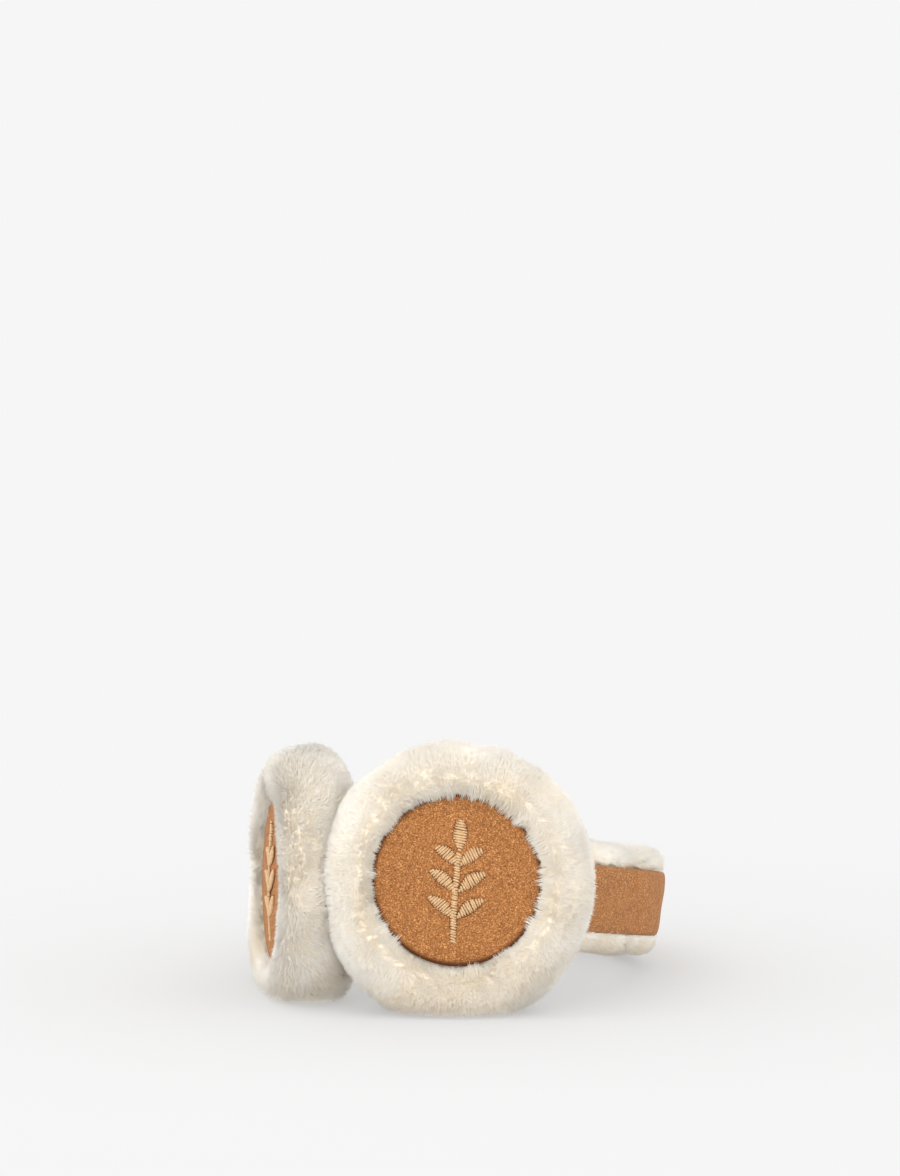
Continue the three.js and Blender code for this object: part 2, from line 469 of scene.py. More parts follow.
def ring_places(rows, sides):
    """Places on a map for ring_faces: u runs round the rings, v from the first fan to the last."""
    row, side = np.divmod(np.arange((rows - 1) * sides), sides)
    left, right = side / sides, (side + 1) / sides
    low, high = (row + 1) / (rows + 1), (row + 2) / (rows + 1)
    quads = corner_places((left, low), (left, high), (right, high), (right, low))
    here = np.arange(sides)
    left, middle, right = here / sides, (here + 0.5) / sides, (here + 1) / sides
    low, high = 1 / (rows + 1), rows / (rows + 1)
    first = corner_places((middle, 0.0), (left, low), (right, low))
    last = corner_places((middle, 1.0), (right, high), (left, high))
    return quads, first, last


def closed_skin(name, grid, material, marks=None):
    """A piece from rows of closed rings, with a fan at each end, turned so that it faces outwards."""
    rows, sides = grid.shape[:2]
    _, way = grid_normals(grid)
    ends = np.stack([grid[0].mean(0), grid[-1].mean(0)])
    points = np.concatenate([grid.reshape(-1, 3), ends])
    faces, places = ring_faces(rows, sides), ring_places(rows, sides)
    if way < 0:
        faces = [f[:, ::-1] for f in faces]
        places = [p[:, ::-1] for p in places]
    if marks:
        marks = {m: np.concatenate([v.ravel(), [v[0].mean(), v[-1].mean()]]) for m, v in marks.items()}
    return new_piece(name, points, faces, places, marks=marks, material=material)


def pile(name, roots, normals, lean, lengths, width, tint, random):
    """Fleece as closed slender spikes of four faces: a triangle of the given width round each root,
    and a tip at root + length * unit(normal + lean). Their shading leans to the skin's own normals."""
    ahead = unit(normals + lean)
    tips = roots + ahead * lengths[:, None]
    keep = (roots[:, 2] > ROOT_FLOOR) & (tips[:, 2] > TIP_FLOOR)
    roots, normals, ahead, tips, tint = (a[keep] for a in (roots, normals, ahead, tips, tint))
    count = len(roots)
    side = unit(np.cross(normals, random.normal(size=(count, 3))))
    other = np.cross(normals, side)
    spread = [side * math.cos(a) + other * math.sin(a) for a in (0, TAU / 3, 2 * TAU / 3)]
    corners = [roots + s * (width / math.sqrt(3)) for s in spread]
    points = np.stack(corners + [tips], 1)
    points[..., 2] = np.maximum(points[..., 2], TIP_FLOOR)
    shade = [unit(0.95 * normals + 0.22 * s) for s in spread] + [unit(0.8 * normals + 0.3 * ahead)]
    base = np.arange(count)[:, None] * 4
    faces = np.stack([base + f for f in ([0, 2, 1], [0, 1, 3], [1, 2, 3], [2, 0, 3])], 1)
    tint = np.clip(tint, MAP_MARGIN, 1 - MAP_MARGIN)
    left, right = tint - MAP_HALF, tint + MAP_HALF
    foot, tip = MAP_ENDS
    under = corner_places((left, 0.0), (tint, foot), (right, 0.0))
    flank = corner_places((left, foot), (right, foot), (tint, tip))
    places = np.stack([under, flank, flank, flank], 1)
    return new_piece(
        name, points.reshape(-1, 3), [faces.reshape(-1, 3)], [places],
        normals=np.stack(shade, 1).reshape(-1, 3), material=finish_of("fleece_pile"),
    )


def tubes(paths, radii, up, sides):
    """Closed round tubes along rows of points: paths (tube, step, 3), radii (tube, step), up (tube, 3).
    Each ring is centre + radius (cos a side + sin a lift), with a fan over each end."""
    count, steps = paths.shape[:2]
    ahead = unit(np.gradient(paths, axis=1))
    side = unit(np.cross(ahead, up[:, None]))
    lift = np.cross(side, ahead)
    a = np.arange(sides) * TAU / sides
    ring = side[:, :, None] * np.cos(a)[:, None] + lift[:, :, None] * np.sin(a)[:, None]
    rings = paths[:, :, None] + ring * radii[:, :, None, None]
    start = paths[:, 0] - ahead[:, 0] * radii[:, :1]
    end = paths[:, -1] + ahead[:, -1] * radii[:, -1:]
    points = np.concatenate([rings.reshape(count, -1, 3), np.stack([start, end], 1)], 1)
    quads, first, last = (np.roll(f[:, ::-1], 1, axis=1) for f in ring_faces(steps, sides))
    fans = np.concatenate([first, last])
    base = (np.arange(count) * points.shape[1])[:, None, None]
    return points.reshape(-1, 3), (base + quads).reshape(-1, 4), (base + fans).reshape(-1, 3)


# ---------------------------------------------------------------------------------------------------
# Materials


class Value:
    """A socket that varies over a surface. Sums, differences and products add Math nodes to its tree."""

    def __init__(self, tree, socket):
        self.tree = tree
        self.socket = socket

    def math(self, operation, *terms):
        node = self.tree.nodes.new("ShaderNodeMath")
        node.operation = operation
        for slot, term in zip(node.inputs, terms):
            if isinstance(term, Value):
                self.tree.links.new(term.socket, slot)
            else:
                slot.default_value = term
        return Value(self.tree, node.outputs[0])

    def __add__(self, other):
        return self.math("ADD", self, other)

    def __sub__(self, other):
        return self.math("SUBTRACT", self, other)

    def __rsub__(self, other):
        return self.math("SUBTRACT", other, self)

    def __mul__(self, other):
        return self.math("MULTIPLY", self, other)

    __radd__ = __add__
    __rmul__ = __mul__


class Finish:
    """A material or a world being built: one method adds any node, and the surface is set at the end."""

    def __init__(self, owner):
        owner.use_nodes = True
        self.owner = owner
        self.tree = owner.node_tree
        self.tree.nodes.clear()

    @staticmethod
    def slot(slots, key):
        """A node's socket by its number, identifier or name."""
        if isinstance(key, int):
            return slots[key]
        return next(s for s in slots if key in (s.identifier, s.name))

    def node(self, kind, settings=None, inputs=None, output=0):
        """Adds a node, sets its settings and then its inputs, and returns one of its outputs. A setting
        called stops holds the (position, colour) pairs of a ramp."""
        node = self.tree.nodes.new(kind)
        for key, value in (settings or {}).items():
            if key == "stops":
                ramp = node.color_ramp.elements
                while len(ramp) < len(value):
                    ramp.new(0.5)
                for stop, (position, colour) in zip(ramp, value):
                    stop.position = position
                    stop.color = (*colour, 1)
            else:
                setattr(node, key, value)
        for key, value in (inputs or {}).items():
            slot = self.slot(node.inputs, key)
            if isinstance(value, Value):
                self.tree.links.new(value.socket, slot)
            elif isinstance(value, tuple) and slot.type == "RGBA":
                slot.default_value = (*value, 1)
            else:
                slot.default_value = value
        return Value(self.tree, self.slot(node.outputs, output)) if node.outputs else None

    def place(self, scale=(1.0, 1.0, 1.0)):
        """Object coordinates, stretched."""
        own = self.node("ShaderNodeTexCoord", output="Object")
        return self.node("ShaderNodeMapping", {"vector_type": "POINT"}, {"Vector": own, "Scale": scale})

    def noise(self, place, scale, detail=2.0, roughness=0.5):
        """Soft noise of about 0.5 on average, with scale swells to the metre."""
        return self.node(
            "ShaderNodeTexNoise", None,
            {"Vector": place, "Scale": scale, "Detail": detail, "Roughness": roughness},
        )

    def ramp(self, factor, stops):
        """Colours blended from one (position, colour) stop to the next."""
        return self.node("ShaderNodeValToRGB", {"stops": stops}, {0: factor})

    def mix(self, factor, a, b, blend="MIX"):
        """(1 - factor) a + factor b, or a times b where blend is MULTIPLY and the factor is 1."""
        return self.node(
            "ShaderNodeMix", {"data_type": "RGBA", "blend_type": blend},
            {"Factor_Float": factor, "A_Color": a, "B_Color": b}, "Result_Color",
        )

    def step(self, value, low, high):
        """0 up to low, 1 from high, and 3 t^2 - 2 t^3 between them."""
        return self.node(
            "ShaderNodeMapRange", {"interpolation_type": "SMOOTHSTEP"},
            {"Value": value, "From Min": low, "From Max": high},
        )

    def surface(self, inputs):
        """Ends the material with a Principled shader."""
        shader = self.node("ShaderNodeBsdfPrincipled", None, inputs)
        self.node("ShaderNodeOutputMaterial", None, {"Surface": shader})
        return self.owner

    def bump(self, height, strength, distance):
        """A normal tilted by the slope of a height, whose range is the distance in metres."""
        inputs = {"Height": height, "Strength": strength, "Distance": distance}
        return self.node("ShaderNodeBump", None, inputs)


def new_finish(name):
    """An empty material of that name."""
    return Finish(bpy.data.materials.new(name))


def shaded(colour, share):
    """A colour times a number."""
    return tuple(c * share for c in colour)


def fleece_skin(look):
    """The fleece close to its skin: cream with warmer patches, and a fine rough pile."""
    finish = new_finish("fleece_skin")
    patches = finish.noise(finish.place(), 45.0, 3.0)
    fibres = finish.noise(finish.place(), 900.0, 3.0, 0.7)
    base = finish.mix(finish.step(patches, 0.35, 0.68), tuple(look.light), tuple(look.beige_and_shade))
    colour = finish.mix(finish.step(fibres, 0.3, 0.75) * 0.35, base, shaded(look.beige_and_shade, 0.8))
    return finish.surface({
        "Base Color": colour,
        "Roughness": 0.95,
        "Specular IOR Level": 0.1,
        "Normal": finish.bump(fibres, 0.35, 0.0004),
    })


def fleece_pile(look):
    """Fleece fibres. The piece's own map runs from white to beige across, and from root to tip upwards.
    The beige end is partly painted shade, and each fibre is darker towards its root, painted shade deep in
    the pile.
    """
    finish = new_finish("fleece_pile")
    own = finish.node("ShaderNodeUVMap", {"uv_map": "OFBake"})
    tint, up = (finish.node("ShaderNodeSeparateXYZ", None, {"Vector": own}, axis) for axis in "XY")
    tip = finish.ramp(tint, [(0.0, tuple(look.white)), (0.5, tuple(look.light)), (1.0, tuple(look.beige_and_shade))])
    # Painted shade: each fibre's colour darkened towards its root, where the pile shades itself
    root = finish.mix(finish.step(up, 0.0, 0.75), tuple(look.root), (1.0, 1.0, 1.0))
    colour = finish.mix(1.0, tip, root, "MULTIPLY")
    return finish.surface({
        "Base Color": colour,
        "Roughness": 0.85,
        "Specular IOR Level": 0.15,
        "Sheen Weight": look.sheen,
        "Sheen Roughness": 0.5,
    })


def suede(look):
    """Suede: a short nap in fine light and dark specks, brushed patches, and dark cut edges that are partly
    painted shade where the suede goes under the fleece.
    """
    finish = new_finish("suede_nap")
    grain = finish.noise(finish.place((1.0, 1.0, 1.25)), look.grain, 3.0, 0.62)
    coarse = finish.noise(finish.place(), look.grain * 0.42, 2.0, 0.5)
    patches = finish.noise(finish.place(), 55.0, 3.0)
    # The edge mark darkens the suede's cut edges, partly painted shade where they go under the fleece
    edge = finish.node("ShaderNodeAttribute", {"attribute_name": "edge"}, output="Fac")
    nap = grain * 0.85 + coarse * 0.15
    body = tuple(look.suede)
    specks = finish.ramp(nap, [
        (0.36, shaded(body, 0.30)),
        (0.455, shaded(body, 0.72)),
        (0.535, shaded(body, 1.10)),
        (0.63, tuple(look.nap_tips)),
    ])
    brushed = finish.mix(finish.step(patches, 0.3, 0.7), shaded(body, 0.86), shaded(body, 1.1))
    tone = finish.mix(0.25, specks, brushed)
    colour = finish.mix(edge, tone, tuple(look.cut_edge_and_shade))
    return finish.surface({
        "Base Color": colour,
        "Roughness": 0.9,
        "Specular IOR Level": 0.2,
        "Sheen Weight": 0.08,
        "Sheen Roughness": 0.45,
        "Sheen Tint": (0.95, 0.72, 0.5),
        "Normal": finish.bump(nap, 0.8, 0.0005),
    })


def thread(look):
    """Embroidery thread: tan, with fine plies and a soft gloss."""
    finish = new_finish("embroidery_thread")
    plies = finish.noise(finish.place(), 1400.0)
    colour = finish.mix(finish.step(plies, 0.35, 0.7), shaded(look.thread, 0.8), shaded(look.thread, 1.15))
    return finish.surface({
        "Base Color": colour,
        "Roughness": 0.5,
        "Specular IOR Level": 0.4,
        "Sheen Weight": 0.2,
        "Normal": finish.bump(plies, 0.5, 0.0002),
    })


def needle_hole(look):
    """The shade in a needle hole."""
    finish = new_finish("needle_hole")
    depth = finish.noise(finish.place(), 800.0, 1.0)
    colour = finish.mix(depth, shaded(look.cut_edge_and_shade, 0.4), shaded(look.cut_edge_and_shade, 0.7))
    return finish.surface({"Base Color": colour, "Roughness": 1.0, "Specular IOR Level": 0.0})


# Each material's function, and the scene's settings that it takes
MAKERS = {
    "fleece_skin": (fleece_skin, "earmuffs_fleece"),
    "fleece_pile": (fleece_pile, "earmuffs_fleece"),
    "suede_nap": (suede, "earmuffs_suede"),
    "embroidery_thread": (thread, "earmuffs_suede"),
    "needle_hole": (needle_hole, "earmuffs_suede"),
}


def finish_of(name):
    """The material of that name, made at its first use from the scene's settings."""
    if name not in bpy.data.materials:
        make, group = MAKERS[name]
        make(getattr(bpy.context.scene, group))
    return bpy.data.materials[name]


# ---------------------------------------------------------------------------------------------------
# Settings


def colour_setting(name, description, default):
    """A setting that holds a colour."""
    return FloatVectorProperty(
        name=name, description=description, default=default, subtype="COLOR", size=3, min=0, max=1,
    )


class EarmuffsFleece(bpy.types.PropertyGroup):
    """How the fleece looks and how thick it stands."""

    white: colour_setting("White", "Palest fibres", (0.99, 0.952, 0.88))
    light: colour_setting("Light", "Most of the fibres", (0.965, 0.89, 0.765))
    # This beige is the fibres' own tone where it varies at random, and painted shade in creases, near the
    # discs, near the floor and between the parts
    beige_and_shade: colour_setting("Warm", "Beige fibres in creases and near the discs", (0.945, 0.83, 0.66))
    # The root colour is painted shade deep in the pile
    root: colour_setting("Root", "What a fibre's colour is multiplied by at its root", (0.94, 0.88, 0.79))
    sheen: FloatProperty(
        name="Sheen", description="Soft glow at the outline of the fleece", default=0.15, min=0, max=1,
    )
    pile: FloatProperty(
        name="Pile", description="Length of the fibres over the skin, in metres", default=0.0034,
        min=0.001, max=0.01, unit="LENGTH",
    )
    fibre: FloatProperty(
        name="Fibre", description="Width of a fibre at its root, in metres", default=0.00042,
        min=0.0001, max=0.002, unit="LENGTH",
    )
    count: IntProperty(
        name="Fibres", description="Number of fibres in all", default=204000, min=1000, max=240000,
    )


class EarmuffsSuede(bpy.types.PropertyGroup):
    """Suede, thread and embroidery."""

    suede: colour_setting("Suede", "Body colour of the suede", (0.355, 0.140, 0.043))
    nap_tips: colour_setting("Nap tips", "Fibres that catch the light", (0.72, 0.37, 0.145))
    # The cut edge colour is partly the suede's own edge and partly painted shade under the fleece; the
    # needle holes' painted shade is made from it
    cut_edge_and_shade: colour_setting("Cut edge", "Dark edge of the suede under the fleece", (0.12, 0.035, 0.010))
    thread: colour_setting("Thread", "Embroidery thread", (0.62, 0.39, 0.19))
    grain: FloatProperty(
        name="Grain", description="Nap specks to the metre", default=1600.0, min=100, max=5000,
    )
    stitch: FloatProperty(
        name="Stitch", description="Distance from one stitch to the next, in metres", default=0.00105,
        min=0.0003, max=0.003, unit="LENGTH",
    )


class EarmuffsStudio(bpy.types.PropertyGroup):
    """Floor, light and camera."""

    backdrop: FloatProperty(
        name="Backdrop", description="Brightness of the surroundings and the far floor", default=0.9216,
        min=0, max=2,
    )
    horizon: FloatProperty(
        name="Horizon", description="Brightness of the soft light from the sides", default=2.35,
        min=0, max=5,
    )
    zenith: FloatProperty(
        name="Zenith", description="Brightness of the soft light from above", default=1.05, min=0, max=5,
    )
    floor: FloatProperty(
        name="Floor", description="How much light the floor returns", default=0.64, min=0, max=1,
    )
    shadow_fill: FloatProperty(
        name="Shadow fill", description="Share of the floor that shadows leave bright", default=0.35,
        min=0, max=1,
    )
    key: FloatProperty(
        name="Key light", description="Power of the soft overhead light, in watts", default=2.0, min=0,
        unit="POWER",
    )
    azimuth: FloatProperty(
        name="Azimuth", description="Where the camera stands round the earmuffs", default=math.radians(25),
        subtype="ANGLE",
    )
    elevation: FloatProperty(
        name="Elevation", description="Camera's height over the horizon", default=math.radians(8.5),
        subtype="ANGLE",
    )
    distance: FloatProperty(
        name="Distance", description="Camera to the middle of the right disc, in metres", default=1.6,
        min=0.3, unit="LENGTH",
    )
    lens: FloatProperty(name="Lens", description="Focal length in millimetres", default=122.45, min=10)


# ---------------------------------------------------------------------------------------------------
# Pieces


def grounded(grid):
    """How thickly the pile stands near the floor: full from 2.4 mm over it, and 15% up to 1.4 mm."""
    return 1 - 0.85 * smooth_step(2.4, 1.4, grid[..., 2])


def pile_count(look, share):
    count = look.count
    return int(count * share)


def pile_lengths(look, roots, waves, random):
    """The pile's length times 0.88 to 1.08 at random, and about 5% more or less in soft clumps."""
    return look.pile / MM * (0.88 + 0.2 * random.random(len(roots)) + 0.05 * waves.level(roots))


def pad_skin(pad, inset):
    """Grid of a pad's skin: its outline drawn in by the pile, less in the seat, with soft swells, squashed
    on the floor, and on the left pad pressed in by the right one."""
    profile = pad_profile(PAD_ROWS)
    normals = profile_normals(profile)
    seat = (profile[:, 0] < LIP_RADIUS) & (profile[:, 1] > 0)
    over_seat = smooth_step(SEAT_RADIUS, LIP_RADIUS, profile[:, 0])
    deep = inset * np.where(seat, SEAT_INSET + (1 - SEAT_INSET) * over_seat, 1)
    profile = (profile - normals * deep[:, None])[1:-1]
    profile[:, 0] = np.maximum(profile[:, 0], AXIS_GAP)
    grid = lathe(profile, PAD_COLUMNS)
    swell = Waves(11 if pad is LEFT else 12, 14, 45).level(grid)
    clump = Waves(21 if pad is LEFT else 22, 5, 11).level(grid)
    out = lathe(normals[1:-1], PAD_COLUMNS)
    reach = smooth_step(2, 12, profile[:, 0])[:, None] * np.where(seat[1:-1], 0.4, 1)[:, None]
    grid = grid + out * ((PAD_SWELL * swell + CLUMP * clump) * reach)[..., None]
    grid = pad.placed(sagged(grid))
    if pad is LEFT:
        grid = kept_clear(grid, RIGHT, -PRESSED)
    return settled(grid, PAD_CLEARANCE)


def pad_pile(pad, grid, look, piece, random):
    """Fibres of one pad: the face is the ring round the disc and the rim, and the ear side is the rest.

    They lean back along the outline's rows, over the disc's edge where it is near, with a drift in soft
    waves. Their tint turns beige in soft waves and at random, and also near the disc, the floor and the
    other pad, where the beige is painted shade."""
    profile = pad_profile(PAD_ROWS)[1:-1]
    outside_seat = smooth_step(SEAT_RADIUS - 0.6, SEAT_RADIUS + 0.2, profile[:, 0])
    face = smooth_step(-14, -4, profile[:, 1]) * outside_seat
    if piece == "ear_side":
        face = np.where(profile[:, 1] < SEAT_HEIGHT - 4, 1 - face, 0)
    weight = (face * (1 + 0.8 * smooth_step(40, 36, profile[:, 0])))[:, None] * grounded(grid)
    roots, normals, down = scatter(grid, pile_count(look, PILE_SHARES[piece]), weight, random)
    depth = depth_in_pad(roots, RIGHT)[0] if pad is LEFT else np.full(len(roots), np.inf)
    keep = depth > -SUNK
    roots, normals, down, depth = (a[keep] for a in (roots, normals, down, depth))
    own = pad.own(roots)
    radius = np.hypot(own[:, 0], own[:, 2])
    near_disc = smooth_step(43.0, 35.5, radius) * (own[:, 1] > SEAT_HEIGHT - 4)
    inward = -np.stack([own[:, 0], 0 * radius, own[:, 2]], -1) / radius[:, None] @ pad.axes.T
    ragged = np.clip(0.8 + 0.7 * Waves(41 if pad is LEFT else 42, 3.5, 15).level(roots), 0, 2)
    drift = Waves(31, 14, 40).push(roots)
    lean = 0.18 * drift + 0.13 * random.normal(size=roots.shape) + [0, 0, -0.08]
    lean = lean - down * (0.55 * (1 - near_disc))[:, None]
    lean = lean + np.cross(normals, down) * (1.5 * near_disc * (1 - near_disc))[:, None]
    lean = lean + inward * (near_disc * (0.4 + 0.75 * ragged))[:, None]
    lengths = pile_lengths(look, roots, Waves(51, 4, 9), random)
    lengths = lengths * (1 + (0.32 * ragged - 0.16) * near_disc)
    stray = random.random(len(roots)) < 0.02
    lengths = np.where(stray, lengths * 1.35, lengths)
    # Tint towards beige: the fibres' own tone in waves and at random, paler overall on the left pad, and
    # painted shade near the disc, the floor and the other pad
    beige_and_shade = (0.2 if pad is LEFT else 0.34) + 0.14 * Waves(61, 18, 50).level(roots)
    beige_and_shade = beige_and_shade + 0.06 * Waves(62, 4, 9).level(roots)
    beige_and_shade = beige_and_shade + 0.18 * random.normal(size=len(roots)) + 0.22 * near_disc
    beige_and_shade = beige_and_shade + 0.18 * smooth_step(22, 3, roots[:, 2]) + 0.12 * smooth_step(7, 0, depth)
    name = f"{pad.side}_ear_pile_{piece}"
    return pile(name, roots, normals, lean, lengths, look.fibre / MM, beige_and_shade, random)


class EARMUFFS_OT_ear_pads(bpy.types.Operator):
    """Make the two fleece ear pads: a padded skin and its pile"""

    bl_idname = "earmuffs.ear_pads"
    bl_label = "Ear Pads"

    def execute(self, context):
        look = context.scene.earmuffs_fleece
        for number, pad in enumerate(PADS):
            grid = pad_skin(pad, look.pile / MM * INSET)
            skin = closed_skin(f"{pad.side}_ear_pad", grid, finish_of("fleece_skin"))
            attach(skin, "root")
            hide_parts(f"{pad.side}_ear_fur")
            for piece, seed in (("face", 100), ("ear_side", 200)):
                fibres = pad_pile(pad, grid, look, piece, np.random.default_rng(seed + number))
                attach(fibres, "root")
        return {"FINISHED"}


def pressed_by_pads(grid, clearance):
    """A grid of the headband drawn up off the floor and out of both pads, but for the depth it sinks in."""
    for pad in PADS:
        grid = kept_clear(grid, pad, -SUNK)
    return settled(grid, clearance)


def band_pile(piece, grid, weight, look, random):
    """Fibres of one side of the headband. They lean along it with a drift in soft waves. Their tint turns
    beige in waves and at random, and also near the pads and underneath, where the beige is painted shade."""
    roots, normals, ahead = scatter(grid, pile_count(look, PILE_SHARES["band"]), weight, random)
    depth = np.minimum(*(depth_in_pad(roots, pad)[0] for pad in PADS))
    keep = depth > -1.0
    roots, normals, ahead, depth = (a[keep] for a in (roots, normals, ahead, depth))
    drift = Waves(31, 14, 40).push(roots)
    lean = 0.45 * ahead + 0.2 * drift + 0.14 * random.normal(size=roots.shape)
    lengths = pile_lengths(look, roots, Waves(52, 4, 9), random)
    # Tint towards beige: the fibres' own tone in waves and at random, and painted shade near the pads and
    # on the downward-facing underside
    beige_and_shade = 0.24 + 0.12 * Waves(61, 18, 50).level(roots) + 0.18 * random.normal(size=len(roots))
    beige_and_shade = beige_and_shade + 0.25 * smooth_step(6, 0, depth) + 0.6 * smooth_step(0.1, -0.6, normals[:, 2])
    width = 1.25 * look.fibre / MM
    return pile(f"headband_pile_{piece}", roots, normals, lean, lengths, width, beige_and_shade, random)


class EARMUFFS_OT_headband(bpy.types.Operator):
    """Make the fleece headband: padding with a channel for the strip, and its pile"""

    bl_idname = "earmuffs.headband"
    bl_label = "Headband"

    def execute(self, context):
        look = context.scene.earmuffs_fleece
        inset = look.pile / MM * INSET
        out = (BAND_INSIDE + inset, BAND_SHOULDER - 0.5)
        across = (BAND_BOTTOM + inset, BAND_TOP - inset)
        section = rounded_section(out, across, BAND_POWER, BAND_COLUMNS)
        low, high = STRIP_BOTTOM - CHANNEL_GAP, STRIP_TOP + CHANNEL_GAP
        channel = (section[:, 0] > 0) & (section[:, 1] > low) & (section[:, 1] < high)
        section[channel, 0] = np.minimum(section[channel, 0], STRIP_FLOOR - CHANNEL_DEPTH)
        grid = band_surface(section, visible_run(BAND_ROWS))
        normals, _ = grid_normals(grid)
        bumps = BAND_SWELL * Waves(71, 12, 40).level(grid) + CLUMP * Waves(72, 5, 10).level(grid)
        grid = grid + normals * (bumps * np.where(channel, 0, 1))[..., None]
        grid = pressed_by_pads(grid, BAND_CLEARANCE)
        skin = closed_skin("headband_padding", grid, finish_of("fleece_skin"))
        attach(skin, "root")
        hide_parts("headband_fur")
        inner = smooth_step(-1, -4, section[:, 0]) * (np.abs(section[:, 1]) < BAND_TOP - 5)
        for piece, seed, weight in (("outer", 300, 1 - inner), ("inner", 301, inner)):
            weight = np.where(channel, 0, weight)[None] * grounded(grid)
            fibres = band_pile(piece, grid, weight, look, np.random.default_rng(seed))
            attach(fibres, "root")
        return {"FINISHED"}


class EARMUFFS_OT_discs(bpy.types.Operator):
    """Make the suede disc in each ear pad: a thin domed cushion whose cut edge is dark, partly painted
    shade
    """

    bl_idname = "earmuffs.discs"
    bl_label = "Suede Discs"

    def execute(self, context):
        seat = SEAT_HEIGHT + DISC_GAP
        radii = np.linspace(DISC_RADIUS - 1.2, AXIS_GAP, 40)
        outline = np.concatenate([
            [[AXIS_GAP, seat], [DISC_RADIUS - 0.5, seat], [DISC_RADIUS, seat + 0.5]],
            [[DISC_RADIUS, seat + DISC_EDGE - 0.7]],
            [[DISC_RADIUS - 0.35, disc_height(DISC_RADIUS) - 0.25]],
            np.stack([radii, disc_height(radii)], -1),
        ])
        profile = evenly(outline, DISC_ROWS)
        upper = (profile[:, 1] > seat + 1)[:, None]
        inside = smooth_step(DISC_RADIUS, DISC_RADIUS - 5, profile[:, 0])[:, None]
        # Darker towards the rim: the disc's cut edge, and painted shade where it goes under the fleece
        dark = smooth_step(DISC_RADIUS - 2.3, DISC_RADIUS - 1.0, profile[:, 0])[:, None]
        for pad in PADS:
            grid = lathe(profile, DISC_COLUMNS)
            swell = Waves(81 if pad is LEFT else 82, 14, 30).level(grid)
            grid[..., 1] += upper * DISC_SWELL * swell * inside
            marks = {"edge": dark + 0 * swell}
            name = f"{pad.side}_ear_suede"
            disc = closed_skin(name, pad.placed(grid), finish_of("suede_nap"), marks)
            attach(disc, "root")
            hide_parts(f"{pad.side}_ear_disc")
        return {"FINISHED"}


class EARMUFFS_OT_strip(bpy.types.Operator):
    """Make the padded suede strip round the outside of the headband"""

    bl_idname = "earmuffs.strip"
    bl_label = "Suede Strip"

    def execute(self, context):
        out = (STRIP_FLOOR, STRIP_FACE)
        section = rounded_section(out, (STRIP_BOTTOM, STRIP_TOP), STRIP_POWER, STRIP_COLUMNS)
        middle = (STRIP_TOP + STRIP_BOTTOM) / 2
        half = (STRIP_TOP - STRIP_BOTTOM) / 2
        crown = 0.25 * (1 - ((section[:, 1] - middle) / half) ** 2)
        section[:, 0] += np.where(section[:, 0] > STRIP_FLOOR + 1, crown, 0)
        grid = band_surface(section, visible_run(STRIP_ROWS))
        normals, _ = grid_normals(grid)
        outer = smooth_step(STRIP_FACE - 1.2, STRIP_FACE - 0.2, section[:, 0])
        grid = grid + normals * (STRIP_SWELL * Waves(91, 8, 26).level(grid) * outer)[..., None]
        grid = pressed_by_pads(grid, STRIP_CLEARANCE)
        # Darker down the strip's sides towards the channel floor: its cut edges, with painted shade where
        # they sink into the fleece
        dark = 0.55 * smooth_step(STRIP_FACE - 1.6, STRIP_FLOOR + 0.4, section[:, 0])[None]
        marks = {"edge": dark + 0 * grid[..., 0]}
        strip = closed_skin("headband_strip", grid, finish_of("suede_nap"), marks)
        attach(strip, "root")
        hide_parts("headband_suede")
        return {"FINISHED"}


def sprig(pitch):
    """Satin stitches of a sprig, in millimetres on the disc: a stem, three pairs of leaves and a top leaf.

    Each stroke is a line, start + s * direction, bent sideways by bend * sin(pi s), and a half width:
    constant on the stem, and on a leaf its widest times sin(pi s)^0.7. Returns the stitches' two ends."""
    strokes = [((0.0, -25.0), (0.0, 1.0), 36.0, 0.6, 1.25, False)]
    for height, length in ((-15.0, 13.0), (-4.5, 13.5), (6.0, 11.5)):
        for side in (-1, 1):
            strokes.append(((side * 0.9, height), (side * 0.8, 0.6), length, side * 1.0, 2.5, True))
    strokes.append(((0.0, 11.5), (0.0, 1.0), 13.5, 0.0, 2.8, True))
    ends = []
    for start, way, length, bend, half, leaf in strokes:
        s = (np.arange(int(length / pitch)) + 0.5) * pitch / length
        way = np.array(way) / math.hypot(*way)
        aside = np.array([-way[1], way[0]])
        line = np.array(start) + np.outer(s * length, way) + np.outer(bend * np.sin(math.pi * s), aside)
        wide = half * (np.maximum(np.sin(math.pi * s), 0.08) ** 0.7 if leaf else 1 + 0 * s)
        slant = 0.28 * pitch * way
        out = aside * wide[:, None]
        ends.append(np.stack([line - out - slant, line + out + slant], 1))
    return np.concatenate(ends)


def on_disc(pad, flat, lift):
    """Points (across, upwards) of a disc's face, lifted off it: in the pad's own frame (-across, height
    of the face there + lift, upwards)."""
    height = disc_height(np.hypot(flat[..., 0], flat[..., 1])) + lift
    return pad.placed(np.stack([-flat[..., 0], height, flat[..., 1]], -1))


